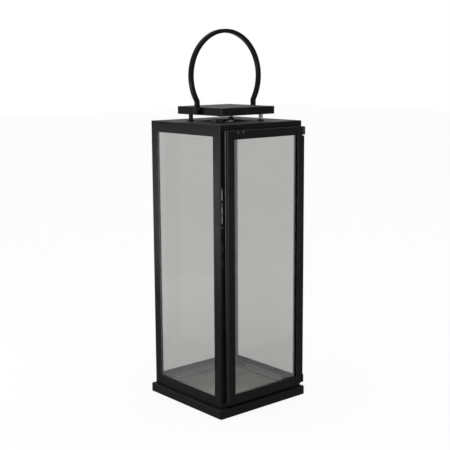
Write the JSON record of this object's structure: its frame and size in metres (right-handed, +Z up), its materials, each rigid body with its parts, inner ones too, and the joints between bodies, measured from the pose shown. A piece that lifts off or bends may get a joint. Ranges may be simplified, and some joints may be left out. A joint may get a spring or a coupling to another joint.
{
  "type": "candle lantern",
  "caption": "Tall square glazed steel candle lantern with a hinged glass door, a raised square vent cap and a looped bail handle.",
  "frame": {"origin": "centre of the plinth's underside, on the surface the lantern stands on", "axes": "+Z up; the door is on the -Y side with its hinges towards +X; the handle's pivots are along X"},
  "size_m": [0.1944, 0.1985, 0.6384],
  "materials": {
    "black_paint": "satin",
    "glass": "clear",
    "spacer_steel": "turned",
    "zinc_steel": "zinc plated",
    "magnet_housing": "moulded"
  },
  "bodies": {
    "lantern": {"base_plinth": "black_paint", "bottom_rail_back": "black_paint", "bottom_rail_front": "black_paint", "bottom_rail_left": "black_paint", "bottom_rail_right": "black_paint", "cap_spacer_back_left": "spacer_steel", "cap_spacer_back_right": "spacer_steel", "cap_spacer_front_left": "spacer_steel", "cap_spacer_front_right": "spacer_steel", "corner_post_back_left": "black_paint", "corner_post_back_right": "black_paint", "corner_post_front_left": "black_paint", "corner_post_front_right": "black_paint", "glass_back": "glass", "glass_left": "glass", "glass_retainer_bottom_back": "black_paint", "glass_retainer_bottom_left": "black_paint", "glass_retainer_bottom_right": "black_paint", "glass_retainer_top_back": "black_paint", "glass_retainer_top_left": "black_paint", "glass_retainer_top_right": "black_paint", "glass_right": "glass", "hinge_leaf_frame_lower": "black_paint", "hinge_leaf_frame_upper": "black_paint", "hinge_pin_lower": "zinc_steel", "hinge_pin_upper": "zinc_steel", "magnet_catch": "magnet_housing", "pivot_nuts": "zinc_steel", "pivot_screws": "black_paint", "pivot_washers": "zinc_steel", "spacer_nuts": "zinc_steel", "spacer_washers": "black_paint", "top_plate": "black_paint", "top_rail_back": "black_paint", "top_rail_front": "black_paint", "top_rail_left": "black_paint", "top_rail_right": "black_paint", "vent_cap": "black_paint"},
    "door": {"door_glass": "glass", "door_rail_bottom": "black_paint", "door_rail_top": "black_paint", "door_stile_left": "black_paint", "door_stile_right": "black_paint", "hinge_leaf_door_lower": "black_paint", "hinge_leaf_door_upper": "black_paint", "catch_strike": "zinc_steel", "strike_rivets": "black_paint"},
    "handle": {"handle": "black_paint"}
  },
  "joints": [
    {"name": "door_hinge", "type": "hinge", "parent": "lantern", "child": "door", "pos_m": [0.0898, -0.0964, 0.25], "axis": [0, 0, 1], "range_deg": [0, 180]},
    {"name": "handle_swing", "type": "hinge", "parent": "lantern", "child": "handle", "pos_m": [0, 0, 0.503], "axis": [1, 0, 0], "range_deg": [-98, 98]}
  ]
}
